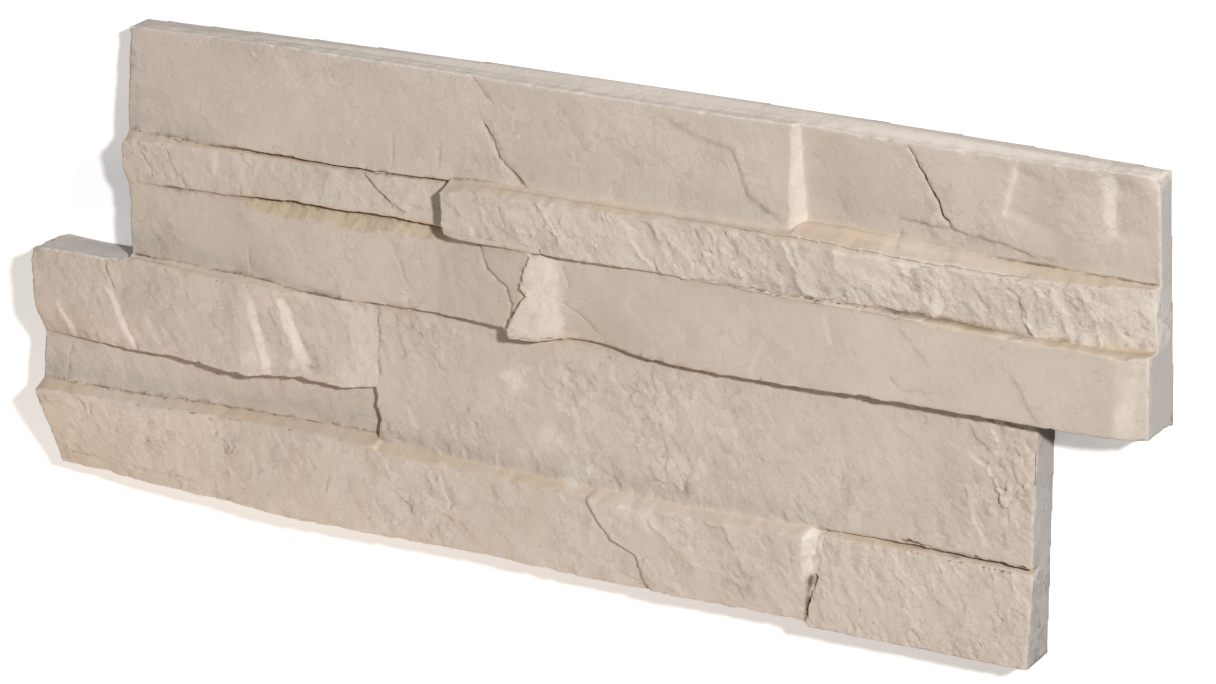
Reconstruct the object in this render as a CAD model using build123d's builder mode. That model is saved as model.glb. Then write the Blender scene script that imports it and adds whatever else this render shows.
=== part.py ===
from build123d import *
import os

# Stacked-stone cladding panel, cast in one piece, lying on its flat back with its relief up.
# X runs along the wall, Y up the wall and Z out of the wall. The origin is the middle of the back.
# The upper half is set over the lower one, so that panels interlock end to end.

# Outline
upper_length = 459.5       # upper half, along its top edge
lower_length = 463.5       # lower half
end_shift = 46.5           # how far the lower half sticks out at the left end
upper_left_lean = 3.5      # the upper half's left end runs out by this much towards the middle
upper_right_lean = 2.0     # and its right end by this much
lower_lean = 3.5           # both ends of the lower half run to the left by this much, going down
back_bow = 3.0             # the back edge of the top face bows out by this much between its corners
bow_low = 1.5              # height above the back where the top face starts to slope
bow_high = 9.0             # height above the back where the slope ends
bow_depth = 5.0            # how far the bowed piece is let into the crown

# Course heights, from the top edge down
crown_height = 42.5
band_height = 23.5
sill_height = 34.0
nose_height = 39.5
strip_height = 23.0
foot_height = 38.0

# Stone lengths along each course
crown_short_length = 147.5     # at the right end, the long stone takes the rest
band_short_length = 157.5      # at the left end
sill_left_length = 199.5       # at the left end
nose_length = 168.0            # at the left end
strip_length = 166.0           # at the left end
foot_mid_length = 97.0         # along its top edge
foot_right_length = 94.5       # at the right end

# How far a stone's edge lies above its course line, at its left and its right end
band_short_lift = (2.0, 3.5)
band_long_lift = (1.2, -0.2)
band_ledge_lift = (-2.0, -0.6)
sill_left_lift = (3.2, -0.8)
sill_right_lift = (-1.6, 1.5)
nose_lift = (-0.2, 2.8)
strip_lift = (3.0, -3.0)
slab_lift = (-0.6, 1.6)
foot_ledge_lift = (0.2, -1.2)

# Places along a stone where its face changes slope
band_hollow = 60.0         # from the left end
band_break = 145.0         # from the right end
sill_sag = 150.0           # from the left end
sill_facet = 11.0          # bright end facet, from the right end
nose_ridge = 105.0         # from the left end
nose_facet = 12.0          # from the nose's right end
nose_belly = 25.0          # from the nose's top edge down
foot_shoulder = 35.0       # from the left end
foot_swell = 115.0         # from the left end

# Broken walls between stones of different height, measured along the course
crown_wall_top = 2.0
crown_wall_low = 3.5
sill_wall = 6.3
foot_wall = 2.5
foot_crack_lean = 25.0     # the left foot joint leans this far to the right as it goes down
joint_wall = 0.6           # steep joints with hardly any draft

# Sloping ledges that the proud courses show on top
ledge_root = 4.0           # how far the ledge runs back from the edge of the face
ledge_drop = 12.0          # how much lower its root is than the face
nose_drop = 10.0           # the same for the nose's ledge
slab_tuck = 2.0            # how far the slab runs up under the sill

# Face heights above the back, along the upper and the lower edge of each stone, left to right
crown_long_top, crown_long_low = (12.5, 13.0), (16.5, 16.5)
crown_short_top, crown_short_low = (10.5, 10.0), (8.5, 10.0)
band_short_top, band_short_low = (24.0, 16.5, 15.0), (18.0, 19.5, 18.5)
band_long_top, band_long_low = (25.0, 24.5, 14.5), (25.0, 21.5, 13.5)
sill_left_top, sill_left_low = (17.5, 17.5, 24.0), (17.0, 18.5, 24.0)
sill_right_top, sill_right_low = (13.5, 20.5, 19.0), (13.5, 25.0, 22.5)
nose_top, nose_low = (24.5, 23.5, 19.0, 15.0), (18.5, 24.0, 18.0, 15.5)
nose_mid = (24.0, 24.0, 18.5, 15.0)
strip_top, strip_low = (18.0, 12.0), (20.0, 12.0)
slab_top, slab_low = (15.5, 16.0), (15.5, 15.5)
foot_left_top, foot_left_low = (28.0, 25.0, 22.0, 21.0), (12.5, 16.0, 22.0, 19.0)
foot_mid_top, foot_mid_low = (22.5, 22.0), (20.5, 20.0)
foot_right_top, foot_right_low = (17.0, 15.0), (20.5, 18.5)

# Course lines, from the top edge of the panel to its bottom edge
upper_height = crown_height + band_height + sill_height
lower_height = nose_height + strip_height + foot_height
y_top = (upper_height + lower_height - back_bow) / 2
y_crown = y_top - crown_height
y_band = y_crown - band_height
y_half = y_band - sill_height
y_nose = y_half - nose_height
y_strip = y_nose - strip_height
y_foot = y_strip - foot_height

# Ends of the halves, at any height
corner = (upper_left_lean + end_shift + lower_lean - upper_length - upper_right_lean) / 2


def upper_left(y):
    return corner - upper_left_lean * (y_top - y) / upper_height


def upper_right(y):
    return corner + upper_length + upper_right_lean * (y_top - y) / upper_height


def lower_left(y):
    return upper_left(y_half) - end_shift - lower_lean * (y_half - y) / lower_height


def lower_right(y):
    return lower_left(y) + lower_length


# A course line runs from one end of a stone to the other and may be off level
def line(y, lift, places):
    return (places[0], y + lift[0], (lift[1] - lift[0]) / (places[-1] - places[0]))


# An edge is the profile of a stone along a course line
def edge(run, places, rises):
    x_start, y_start, slope = run
    faces = [(places[0], 0), *zip(places, rises), (places[-1], 0)]
    return [(x, y_start + slope * (x - x_start), rise) for x, rise in faces]


def level(y):
    return (0, y, 0)


# The ledge on top of a proud stone slopes back to a root under the stone above
def ledge(run, places, rises, drop):
    x_start, y_start, slope = run
    roots = [rise - drop for rise in rises]
    return edge((x_start, y_start + ledge_root, slope), places, roots)


# A course is lofted from edge to edge
def course(*edges):
    sections = []
    for points in edges:
        with BuildLine() as outline:
            Polyline(*points, close=True)
        sections.append(make_face(outline.edges()))
    with BuildPart() as block:
        loft(sections, ruled=True)
    return block.part


# Crown: a long stone and a lower short one, with a broken step between them
def crown_places(y, wall):
    step = corner + upper_length - crown_short_length - crown_wall_top
    return (upper_left(y), step, step + wall, upper_right(y))


crown = course(
    edge(level(y_crown), crown_places(y_crown, crown_wall_low), crown_long_low + crown_short_low),
    edge(level(y_top), crown_places(y_top, crown_wall_top), crown_long_top + crown_short_top),
)

# The top face slopes out to a bowed back edge
y_bow = y_top + back_bow
with BuildPart() as top_bow:
    with BuildSketch():
        with BuildLine():
            Polyline(
                (corner, y_top),
                (corner, y_top - bow_depth),
                (corner + upper_length, y_top - bow_depth),
                (corner + upper_length, y_top),
            )
            ThreePointArc((corner, y_top), (corner + upper_length / 2, y_bow), (corner + upper_length, y_top))
        make_face()
    extrude(amount=bow_high)
    with BuildSketch(Plane.YZ):
        with BuildLine():
            Polyline(
                (y_top - bow_depth, 0),
                (y_bow, 0),
                (y_bow, bow_low),
                (y_top, bow_high),
                (y_top - bow_depth, bow_high),
                close=True,
            )
        make_face()
    extrude(amount=upper_length, both=True, mode=Mode.INTERSECT)


# Band: a short stone, and a long proud one that dies away to the right
band_joint = corner + band_short_length


def band_short_places(y):
    return (upper_left(y), corner + band_hollow, band_joint)


def band_long_places(y):
    return (band_joint, corner + upper_length - band_break, upper_right(y))


band_front = line(y_crown, band_ledge_lift, (upper_left(y_crown), upper_right(y_crown)))
band_short_line = line(y_band, band_short_lift, band_short_places(y_band))
band_long_line = line(y_band, band_long_lift, band_long_places(y_band))
band_short = course(
    edge(band_short_line, band_short_places(y_band), band_short_low),
    edge(band_front, band_short_places(y_crown), band_short_top),
    ledge(band_front, band_short_places(y_crown), band_short_top, ledge_drop),
)
band_long = course(
    edge(band_long_line, band_long_places(y_band), band_long_low),
    edge(band_front, band_long_places(y_crown), band_long_top),
    ledge(band_front, band_long_places(y_crown), band_long_top, ledge_drop),
)

# Sill: a proud left stone with a broken end, and a sunk stone that rises to a facet at its right end
sill_break = corner + sill_left_length


def sill_left_places(y):
    return (upper_left(y), corner + sill_sag, sill_break, sill_break + sill_wall)


def sill_right_places(y):
    return (sill_break, corner + upper_length - sill_facet, upper_right(y))


sill_left = course(
    edge(
        line(y_half, sill_left_lift, sill_left_places(y_half)),
        sill_left_places(y_half),
        sill_left_low + sill_right_low[:1],
    ),
    edge(band_short_line, sill_left_places(y_band), sill_left_top + sill_right_top[:1]),
)
sill_right = course(
    edge(
        line(y_half, sill_right_lift, sill_right_places(y_half)),
        sill_right_places(y_half),
        sill_right_low,
    ),
    edge(band_long_line, sill_right_places(y_band), sill_right_top),
)


# Nose: the proud stone that sticks out beyond the upper half, with a facet at its right end
def nose_places(y):
    end = lower_left(y_half) + nose_length
    return (lower_left(y), lower_left(y) + nose_ridge, end - nose_facet, end)


y_belly = y_half - nose_belly
nose_line = line(y_nose, nose_lift, nose_places(y_nose))
nose = course(
    edge(nose_line, nose_places(y_nose), nose_low),
    edge(level(y_belly), nose_places(y_belly), nose_mid),
    edge(level(y_half), nose_places(y_half), nose_top),
)

# Under the sill the nose's top slopes back as a ledge
nose_ledge_places = (upper_left(y_half), *nose_places(y_half)[1:])
nose_ledge = course(
    edge(level(y_half), nose_ledge_places, nose_top),
    ledge(level(y_half), nose_ledge_places, nose_top, nose_drop),
)


# Strip: the thin sunk stone under the nose
def strip_places(y):
    return (lower_left(y), lower_left(y_half) + strip_length)


strip = course(
    edge(line(y_strip, strip_lift, strip_places(y_strip)), strip_places(y_strip), strip_low),
    edge(nose_line, strip_places(y_nose), strip_top),
)


# Slab: the large flat stone to the right of both
def slab_places(y):
    return (lower_left(y_half) + strip_length, lower_right(y))


slab = course(
    edge(line(y_strip, slab_lift, slab_places(y_strip)), slab_places(y_strip), slab_low),
    edge(level(y_half + slab_tuck), slab_places(y_half), slab_top),
)


# Foot: three stones along the bottom edge, the first with a chamfered left end
def foot_places(y, lean):
    left = lower_left(y)
    right = lower_right(y)
    crack = lower_right(y_strip) - foot_right_length - foot_mid_length + lean
    wall = right - foot_right_length
    return (
        left,
        left + foot_shoulder,
        left + foot_swell,
        crack,
        crack + joint_wall,
        wall - foot_wall,
        wall,
        right,
    )


foot_top_places = foot_places(y_strip, 0)
foot_top = foot_left_top + foot_mid_top + foot_right_top
foot_low = foot_left_low + foot_mid_low + foot_right_low
foot_front = line(y_strip, foot_ledge_lift, foot_top_places)
foot = course(
    edge(level(y_foot), foot_places(y_foot, foot_crack_lean), foot_low),
    edge(foot_front, foot_top_places, foot_top),
    ledge(foot_front, foot_top_places, foot_top, ledge_drop),
)

with BuildPart() as cladding_panel:
    for upper_stone in (crown, top_bow.part, band_short, band_long, sill_left, sill_right):
        add(upper_stone)
    for lower_stone in (nose, nose_ledge, strip, slab, foot):
        add(lower_stone)

cladding_panel.part.label = "cladding_panel"

os.makedirs("parts", exist_ok=True)
export_step(cladding_panel.part, "parts/cladding_panel.step")
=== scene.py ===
import math

import bmesh
import bpy
import numpy as np
from mathutils import Matrix, Vector


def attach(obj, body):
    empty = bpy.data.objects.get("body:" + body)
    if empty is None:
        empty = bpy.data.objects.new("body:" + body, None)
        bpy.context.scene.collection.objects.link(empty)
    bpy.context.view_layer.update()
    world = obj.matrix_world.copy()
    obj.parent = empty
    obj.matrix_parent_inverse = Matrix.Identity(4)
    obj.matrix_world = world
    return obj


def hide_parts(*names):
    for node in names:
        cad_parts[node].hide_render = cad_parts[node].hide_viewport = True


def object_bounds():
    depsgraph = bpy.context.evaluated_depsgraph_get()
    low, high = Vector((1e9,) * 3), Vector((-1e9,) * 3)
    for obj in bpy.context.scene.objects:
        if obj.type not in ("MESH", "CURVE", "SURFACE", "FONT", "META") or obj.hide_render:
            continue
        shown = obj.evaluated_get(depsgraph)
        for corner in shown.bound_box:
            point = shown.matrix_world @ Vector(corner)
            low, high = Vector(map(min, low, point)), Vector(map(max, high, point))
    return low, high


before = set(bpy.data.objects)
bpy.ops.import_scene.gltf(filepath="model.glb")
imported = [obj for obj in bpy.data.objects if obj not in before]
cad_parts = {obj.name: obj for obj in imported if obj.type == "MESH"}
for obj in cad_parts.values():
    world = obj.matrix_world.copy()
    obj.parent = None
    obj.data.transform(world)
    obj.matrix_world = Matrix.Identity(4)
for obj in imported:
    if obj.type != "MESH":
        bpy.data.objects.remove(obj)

mm = 0.001
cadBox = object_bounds()
print("frame loaded, box", [round(v / mm, 1) for corner in cadBox for v in corner])


# Noise in the panel's own millimetres, the same on every run

def latticeAngle(ix, iy, seed):
    mixed = ix.astype(np.uint32) * np.uint32(374761393) + iy.astype(np.uint32) * np.uint32(668265263)
    mixed = mixed + np.uint32(seed * 2654435 % 4294967296)
    mixed = (mixed ^ (mixed >> np.uint32(13))) * np.uint32(1274126177)
    mixed = mixed ^ (mixed >> np.uint32(16))
    return mixed.astype(np.float64) * (2 * math.pi / 4294967296)


def ripple(x, y, size, seed):
    px, py = x / size, y / size
    ix, iy = np.floor(px).astype(np.int64), np.floor(py).astype(np.int64)
    fx, fy = px - ix, py - iy
    sx, sy = fx * fx * fx * (fx * (fx * 6 - 15) + 10), fy * fy * fy * (fy * (fy * 6 - 15) + 10)
    corners = []
    for ox, oy in ((0, 0), (1, 0), (0, 1), (1, 1)):
        angle = latticeAngle(ix + ox, iy + oy, seed)
        corners.append(np.cos(angle) * (fx - ox) + np.sin(angle) * (fy - oy))
    low = corners[0] + sx * (corners[1] - corners[0])
    high = corners[2] + sx * (corners[3] - corners[2])
    return 1.5 * (low + sy * (high - low))


def rough(x, y, size, seed, octaves=4, gain=0.5):
    total, weight = 0, 1.0
    for octave in range(octaves):
        total = total + weight * ripple(x, y, size * 0.5 ** octave, seed + 17 * octave)
        weight *= gain
    return total


def nearestCell(x, y, size, seed):
    # nearest of a scatter of points: squared distance, the way to it, and a number that is its own
    px, py = x / size, y / size
    ix, iy = np.floor(px).astype(np.int64), np.floor(py).astype(np.int64)
    best = np.full(x.shape, 9.0)
    wayX, wayY, own = np.zeros_like(x), np.zeros_like(x), np.zeros_like(x)
    for ox in (-1, 0, 1):
        for oy in (-1, 0, 1):
            first = latticeAngle(ix + ox, iy + oy, seed)
            second = latticeAngle(ix + ox, iy + oy, seed + 7)
            dx = px - ix - ox - first / (2 * math.pi)
            dy = py - iy - oy - second / (2 * math.pi)
            near = dx * dx + dy * dy
            closer = near < best
            best = np.where(closer, near, best)
            wayX, wayY = np.where(closer, dx, wayX), np.where(closer, dy, wayY)
            own = np.where(closer, first, own)
    return best, wayX, wayY, own


def ease(t):
    t = np.clip(t, 0.0, 1.0)
    return t * t * (3 - 2 * t)


def turned(x, y, degrees):
    c, s = math.cos(math.radians(degrees)), math.sin(math.radians(degrees))
    return x * c + y * s, y * c - x * s


# Course lines of the panel, as the solid has them, and how the cast edge wanders off each one
# A line with a floor moves only what lies above that height: the front edge of a ledge, not its root
# joint = how dark the line is where two stones meet, along x: a dark joint, and painted shade where it is the root of a
# ledge
courseLines = {
    "top": {"ends": (-204, 98.75, 255.5, 98.75), "floor": ((-204, 6), (256, 5)),
            "wander": ((-204, 0.0), (-168, 0.6), (-143, 0.9), (-47, 0.9), (3, 0.4), (44, 0.1), (101, 0.6), (129, -0.5),
                       (171, -1.0), (212, -1.0), (251, -0.3))},
    "crownLow": {"ends": (-206, 56.25, 107, 56.25),
                 "wander": ((-204, -0.9), (-160, -1.0), (-100, -1.8), (-50, -0.5), (-33, 0.5), (40, -0.3), (107, 0.8)),
                 "joint": ((-206, 0.9), (-40, 0.9), (-20, 0.25), (107, 0.15))},
    "bandFront": {"ends": (-46.5, 54.7, 257, 55.65), "floor": ((-47, 18), (107, 18), (109, 11), (257, 11.5)),
                  "wander": ((-48, -0.6), (-36, 0.4), (-18, 1.2), (50, 1.6), (98, 0.8), (115, -0.6), (135, -1.6), (180, -1.4),
                             (196, -1.2), (219, -0.3), (246, 0.6), (258, 1.2))},
    "crownShortLow": {"ends": (109, 56.25, 256, 56.25),
                      "wander": ((108, 1.7), (128, 1.9), (145, 1.2), (150, 0.3), (195, -0.6), (256, 0.5)),
                      "joint": ((108, 0.1), (150, 0.2), (185, 0.4), (205, 0.9), (256, 0.9))},
    "bandShortLow": {"ends": (-206.3, 34.75, -46.5, 36.25),
                     "wander": ((-206, -0.7), (-156, -0.1), (-138, 1.1), (-119, 1.6), (-99, 1.2), (-85, 1.9), (-55, 0.5)),
                     "joint": ((-206, 1.0), (-46, 1.0))},
    "bandLongLow": {"ends": (-46.5, 33.95, 256.8, 32.55),
                    "wander": ((-46, 1.4), (-20, 0.8), (60, 0.6), (150, 0.8), (195, -0.7), (246, -0.8), (257, 0.6)),
                    "joint": ((-46, 0.8), (90, 0.5), (140, 0.2), (190, 0.6), (225, 0.6), (240, 0.1), (257, 0.1))},
    "sillLeftLow": {"ends": (-207.5, 1.95, 1.8, -2.05),
                    "wander": ((-207, -0.2), (-150, 0.0), (-122, -1.3), (-100, -1.2), (-63, 0.4), (-23, 1.8), (-19, -0.8),
                               (-8, -1.2), (2, -0.6)),
                    "joint": ((-207, 1.0), (-20, 0.9), (-15, 0.5), (2, 0.3))},
    "noseFront": {"ends": (-254, -1.25, -100, -1.25), "floor": ((-254, 19), (-150, 19.5), (-100, 16)),
                  "wander": ((-254, 0.7), (-240, 1.5), (-219, 1.1), (-201, 2.4), (-180, 0.6), (-100, 0.0))},
    "sillRightLow": {"ends": (-4.5, -2.85, 257.5, 0.25),
                     "wander": ((2, 0.4), (19, 1.1), (42, -0.8), (72, -1.4), (111, -0.5), (137, 0.5), (221, 0.1), (257, 1.2)),
                     "joint": ((2, 0.15), (20, 0.4), (120, 0.6), (210, 0.8))},
    "noseLow": {"ends": (-255.4, -40.95, -86, -38.0),
                "wander": ((-255, 1.2), (-237, 0.6), (-215, -0.2), (-182, 0.7), (-161, -1.1), (-146, -1.5), (-123, 0.5),
                           (-113, -1.2), (-104, -1.9), (-87, 0.1)),
                "joint": ((-255, 0.5), (-87, 0.6))},
    "stripLow": {"ends": (-256.2, -60.75, -88, -66.75),
                 "wander": ((-256, 1.0), (-208, 0.6), (-170, 2.0), (-125, 2.6), (-90, 2.2)),
                 "joint": ((-256, 1.0), (-88, 0.9))},
    "slabLow": {"ends": (-88, -64.35, 207.3, -62.15),
                "wander": ((-88, 0.0), (-30, -0.8), (12, -1.5), (63, -0.7), (113, 0.8), (143, 1.8), (208, 0.6)),
                "joint": ((-88, 0.15), (-40, 0.0), (140, 0.0), (155, 0.8), (208, 1.0))},
    "bottom": {"ends": (-257.5, -101.75, 206, -101.75),
               "wander": ((-257, -0.2), (-229, 1.2), (-224, 0.2), (-160, 1.2), (-126, 0.1), (-87, 0.6), (-34, 1.6), (11, 0.1),
                          (43, 1.0), (111, 1.9), (113, -0.2), (136, -1.2), (161, -0.4), (202, -0.8))},
}
# Joints that run up the panel: where the solid has them, and how they wander sideways, by y
uprightLines = {
    "footCrack": {"ends": (15.8, -63.75, 40.8, -101.75),
                  "wander": ((-102, 1.3), (-95.2, 1.4), (-88.1, 4.6), (-85.5, 4.7), (-84.4, 1.9), (-81.5, -2.6), (-77.4, -3.7),
                             (-72.5, -4.0), (-67.9, -3.4), (-63.8, -0.2))},
    "footJoint": {"ends": (112.8, -62.0, 111.5, -101.75), "wander": ((-102, 0.0), (-90.7, 0.6), (-79.7, 2.0), (-62, 2.6))},
    "stripEnd": {"ends": (-88, -39.0, -88, -66.0), "wander": ((-66, 0.4), (-58, -0.3), (-53, 0.6), (-47, -0.8), (-42, 0.3), (-39, -0.5))},
    "leftEnd": {"ends": (-254, 2.0, -257.5, -104.0), "wander": ((-102, 0.0), (-90, 0.6), (-72, -0.4), (-66, -1.2), (-60, -1.0), (-45, -1.3), (-38, -0.8),
                                                              (-20, -1.5), (-1, -1.7))},
}
lineReach = 6.0        # mm, how far from a line its wander is felt
lineTick = 0.30        # mm, small uneven ticks along every line


def lineAt(name, x):
    x0, y0, x1, y1 = courseLines[name]["ends"]
    return y0 + (y1 - y0) * (x - x0) / (x1 - x0)


def lineSpan(name, x, soft=2.0):
    x0, _, x1, _ = courseLines[name]["ends"]
    return ease((x - x0) / soft + 1) * ease((x1 - x) / soft + 1)


# Stones of the face: where each lies and how its skin is broken, in mm
# swell = broad waves, flake = flat scars with sharp rims, scoop = hollows with ridges between, both drawn out along slant
# belly = a stretch that stands higher or lower than the solid, tilt = an upper edge that does, chamfer = one that is broken off
stones = {
    "crownLong": {"x": (-212, 107.4), "lean": (0, 0), "above": "crownLow", "below": None, "swell": 0.28,
                  "flake": 0.05, "flakeSize": 12, "scoop": 0.0, "scoopSize": 12, "stretch": 1.6, "slant": -55, "grain": 0.42, "seed": 11},
    "crownShort": {"x": (107.4, 262), "lean": (0, 0), "above": "crownShortLow", "below": None, "swell": 0.26,
                   "flake": 0.06, "flakeSize": 11, "scoop": 0.0, "scoopSize": 12, "stretch": 1.6, "slant": -50, "grain": 0.45, "seed": 23},
    "bandShort": {"x": (-212, -46.5), "lean": (0, 0), "above": "bandShortLow", "below": "crownLow", "swell": 0.40,
                  "flake": 0.2, "flakeSize": 7, "scoop": 0.7, "scoopSize": 9, "stretch": 2.0, "slant": -66, "grain": 0.7, "seed": 31},
    "bandLong": {"x": (-46.5, 262), "lean": (0, 0), "above": "bandLongLow", "below": "crownLow", "swell": 0.50,
                 "flake": 0.36, "flakeSize": 6.5, "scoop": 1.9, "scoopSize": 8.5, "stretch": 2.2, "slant": -58, "grain": 0.95, "seed": 43,
                 "belly": (20, 80, 150, 230, -1.2)},
    "sillLeft": {"x": (-212, -1.5), "lean": (0, 0), "above": "sillLeftLow", "below": "bandShortLow", "swell": 0.28,
                 "flake": 0.07, "flakeSize": 10, "scoop": 0.0, "scoopSize": 12, "stretch": 1.8, "slant": -60, "grain": 0.5, "seed": 59,
                 "chamfer": (-150, -46, 6.2, 2.3)},
    "sillRight": {"x": (-1.5, 262), "lean": (0, 0), "above": "sillRightLow", "below": "bandLongLow", "swell": 0.22,
                  "flake": 0.02, "flakeSize": 16, "scoop": 0.0, "scoopSize": 12, "stretch": 2.0, "slant": -50, "grain": 0.3, "seed": 61,
                  "belly": (2.8, 3.0, 115, 225, 4.0), "tilt": ((3, 1.5), (110, 1.5), (200, 2.2))},
    "nose": {"x": (-262, -86.5), "lean": (0, 0), "above": "noseLow", "below": "sillLeftLow", "swell": 0.40,
             "flake": 0.18, "flakeSize": 5.5, "scoop": 0.6, "scoopSize": 7, "stretch": 3.4, "slant": -66, "grain": 0.65, "seed": 73},
    "strip": {"x": (-262, -87.5), "lean": (0, 0), "above": "stripLow", "below": "noseLow", "swell": 0.30,
              "flake": 0.06, "flakeSize": 9, "scoop": 0.0, "scoopSize": 12, "stretch": 2.2, "slant": -66, "grain": 0.5, "seed": 83},
    "slab": {"x": (-87.0, 215), "lean": (0, 0), "above": "slabLow", "below": "sillRightLow", "swell": 0.35,
             "flake": 0.2, "flakeSize": 8, "scoop": 0.4, "scoopSize": 10, "stretch": 1.25, "slant": -60, "grain": 0.62, "seed": 97},
    "footLeft": {"x": (-262, 15.8), "lean": (0, 25), "above": None, "below": "slabLow", "swell": 0.55,
                 "flake": 0.26, "flakeSize": 7.5, "scoop": 1.3, "scoopSize": 11, "stretch": 2.0, "slant": -35, "grain": 0.85, "seed": 103},
    "footMid": {"x": (15.8, 112.6), "lean": (25, 0), "above": None, "below": "slabLow", "swell": 0.60,
                "flake": 0.32, "flakeSize": 6.5, "scoop": 1.7, "scoopSize": 10, "stretch": 1.5, "slant": -48, "grain": 0.9, "seed": 113},
    "footRight": {"x": (112.6, 215), "lean": (0, 0), "above": None, "below": "slabLow", "swell": 0.40,
                  "flake": 0.36, "flakeSize": 4.6, "scoop": 1.3, "scoopSize": 6.5, "stretch": 1.6, "slant": -62, "grain": 1.0, "seed": 127},
}

# Patches where the skin has come off in flakes: x, y, reach in mm, and how much more broken they are
flaws = ((197, -13, 13, 2.2), (200, -32, 14, 2.6), (188, -47, 11, 1.8), (-81, -57, 10, 1.2), (-46, -48, 12, 1.0), (-62, -8, 12, 1.2),
         (8, -25, 13, 1.1), (45, -24, 16, 1.2), (50, -50, 14, 1.5), (107, -52, 9, 1.0), (-155, -75, 14, 1.2), (-60, -80, 18, 0.8),
         (75, 46, 16, 0.9), (-195, 46, 14, 0.6), (8, 80, 14, 1.6), (-180, 88, 12, 1.0))

# Single marks on the stones, as paths in mm: a crack is cut in, a step drops the face on the side of greater x
cracks = (
    {"path": ((-32, 83), (-30.4, 79.1), (-26.5, 74.4), (-24.4, 68.5), (-19.1, 63.9), (-14.6, 60.5), (-11.1, 56.9)), "deep": 1.1},
    {"path": ((-37.4, 98.5), (-35.3, 96.3), (-31.3, 92.8), (-26.4, 89.4)), "deep": 0.6},
    {"path": ((-74.8, 72.9), (-74.2, 64), (-74.9, 56.2)), "deep": 0.35},
    {"path": ((-51.7, 71.9), (-52.3, 66), (-51.8, 60.3)), "deep": 0.3},
    {"path": ((153.0, 98.6), (155.6, 93.1), (160.1, 85.9), (166.3, 75.1), (170.4, 67.9), (172.5, 64.0)), "deep": 1.3},
    {"path": ((148.2, 67.4), (162.0, 66.7), (170.3, 66.4), (178.6, 65.3)), "deep": 0.6},
    {"path": ((178.6, 65.3), (191.0, 64.0), (205, 61.5), (215.5, 59.2)), "deep": 0.35},
    {"path": ((149.2, 62.5), (149.4, 60.1), (150.6, 57.2)), "deep": 0.8},
    {"path": ((-89.8, 54.6), (-80.7, 46.4), (-73.7, 42.6), (-67.7, 38.6)), "deep": 0.8},
    {"path": ((-196.3, 49.5), (-193.7, 42.8), (-192.6, 37.4)), "deep": 0.6},
    {"path": ((-182.8, 52.1), (-182.4, 44.4), (-179.8, 39.2)), "deep": 0.6},
    {"path": ((-76.6, 27.7), (-71.5, 15.8), (-62.7, 1.1)), "deep": 0.4},
    {"path": ((-33, 34), (-32.1, 31.9), (-28.8, 23.4), (-19.7, 17.7), (-16.8, 11.5), (-19.1, 0.7)), "deep": 0.8},
    {"path": ((-9.2, 25.8), (-12.0, 19.2), (-9.3, 16.2), (-12.3, 12.1), (-16.4, 6.0), (-18.7, 0.9)), "deep": 0.6},
    {"path": ((-85.6, -2.0), (-86.4, -20.4), (-87.4, -38.0)), "deep": 0.8, "wide": 0.35},
    {"path": ((117.0, -61.0), (115.6, -72.0), (114.1, -80.5)), "deep": 0.6, "wide": 0.35},
    {"path": ((114.1, -79.0), (112.4, -88.0), (111.4, -95.0), (111.0, -103.0)), "deep": 2.2, "wide": 0.65},
    {"path": ((-147.3, 14.5), (-146.8, 8), (-145.8, 0.5)), "deep": 0.4},
    {"path": ((5.5, 29.3), (8.4, 20.2)), "deep": 0.35},
    {"path": ((1.8, 15.0), (11.7, 10.4), (18.3, 3.1), (22.8, 0.5)), "deep": 0.45},
    {"path": ((150.9, 9.7), (155.9, 4.5), (168.6, 5.5)), "deep": 0.4},
    {"path": ((-217.2, -1.7), (-215, -8), (-213.5, -13.4)), "deep": 0.9},
    {"path": ((-242.9, -43.7), (-244.5, -61.2)), "deep": 0.35},
    {"path": ((-241.8, -61.5), (-235.7, -65.0), (-233.1, -70.8)), "deep": 0.8},
    {"path": ((-229.1, -65.5), (-232.0, -73.7)), "deep": 0.5},
    {"path": ((-221.3, -66.4), (-221.3, -72.8)), "deep": 0.5},
    {"path": ((-256.2, -89.2), (-250.2, -94.1), (-236.3, -94.3), (-226.8, -95.8), (-218.5, -98.0)), "deep": 0.5},
    {"path": ((-232.8, -93.0), (-211.7, -94.6), (-189.6, -93.9), (-173.0, -95.5)), "deep": 0.35},
    {"path": ((-124.4, -67.9), (-116.0, -77.5)), "deep": 0.5},
    {"path": ((-110.1, -78.6), (-112.6, -86.6)), "deep": 0.5},
    {"path": ((148.3, -60.8), (157.8, -61.6), (170.6, -62.4), (182.1, -61.8), (186.3, -62.6), (200.2, -62.6), (209, -62.2)),
     "deep": 1.4, "wide": 0.55},
    {"path": ((202.3, -6.9), (205.6, -11.1), (208.0, -18.6), (205.2, -23.2), (203.9, -29.5), (200.2, -33.0), (197.3, -38.8),
              (195.6, -43.1)), "deep": 0.35},
    {"path": ((187.7, -24.4), (189.8, -28.0), (192.7, -32.3), (191.0, -37.1), (186.8, -41.5)), "deep": 0.25},
    {"path": ((183.4, -41.3), (187.6, -48.7), (189.3, -54.9)), "deep": 0.3},
    {"path": ((175.6, -4.4), (176.0, -11.2)), "deep": 0.4},
)
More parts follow.
